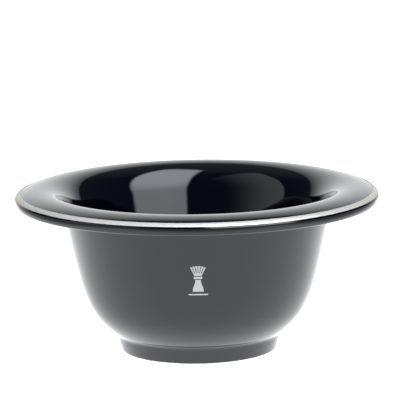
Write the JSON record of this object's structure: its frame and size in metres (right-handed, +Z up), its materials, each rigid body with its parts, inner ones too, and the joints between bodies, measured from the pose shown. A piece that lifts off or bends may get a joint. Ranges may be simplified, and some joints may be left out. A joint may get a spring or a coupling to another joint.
{
  "type": "shaving bowl",
  "caption": "Round black-glazed porcelain lathering bowl with a rolled brim, a platinum edge line and a ring foot, for working up shaving lather with a brush.",
  "frame": {"origin": "on the bowl's axis, in the plane that the foot stands on", "axes": "+Z up along the bowl's axis, -Y towards the side with the printed mark, +X to the right as seen from that side"},
  "size_m": [0.14, 0.14, 0.0635],
  "materials": {
    "biscuit_porcelain": "matte",
    "bare_porcelain": "matte",
    "black_glaze": "gloss",
    "platinum_lustre": "gloss",
    "silver_print": "satin"
  },
  "bodies": {
    "root": {"porcelain_body": "biscuit_porcelain", "foot_ring": "bare_porcelain", "inner_glaze": "black_glaze", "outer_glaze": "black_glaze", "underside_glaze": "black_glaze", "platinum_band": "platinum_lustre", "front_emblem": "silver_print"}
  },
  "joints": []
}
